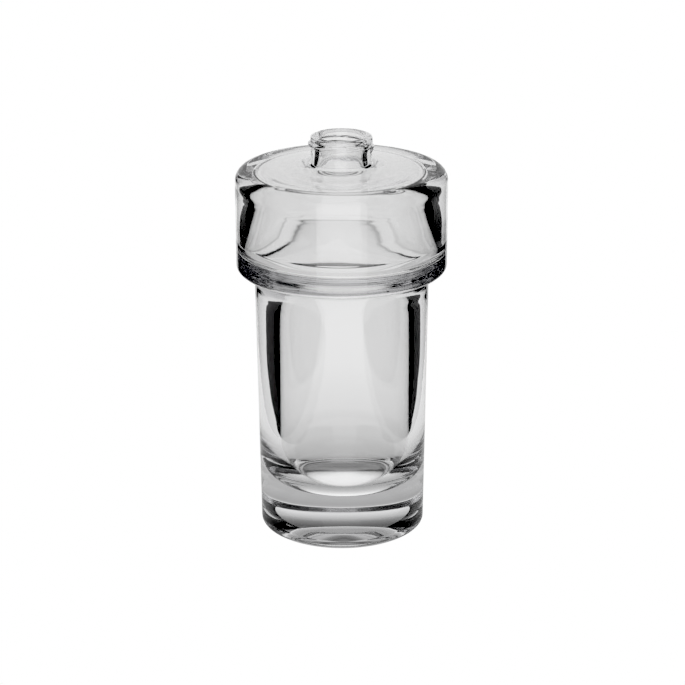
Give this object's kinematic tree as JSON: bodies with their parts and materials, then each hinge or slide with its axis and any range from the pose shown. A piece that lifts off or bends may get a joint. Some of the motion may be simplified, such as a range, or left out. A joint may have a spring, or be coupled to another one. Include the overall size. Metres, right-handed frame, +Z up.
{
  "type": "glass dispenser bottle",
  "caption": "Thick-walled clear glass bottle with a drum-shaped head whose flat underside rests on a ring holder, and a short threaded neck.",
  "frame": {"origin": "centre of the base, on the surface that the bottle stands on", "axes": "+Z up along the bottle's axis, through the neck; the lower end of the neck's thread faces 20 degrees from +X towards -Y"},
  "size_m": [0.078, 0.078, 0.1513],
  "materials": {
    "clear_glass": "polished, clear, with a faint cool-grey tint where the glass is thick"
  },
  "bodies": {
    "root": {"glass_bottle": "clear_glass"}
  },
  "joints": []
}
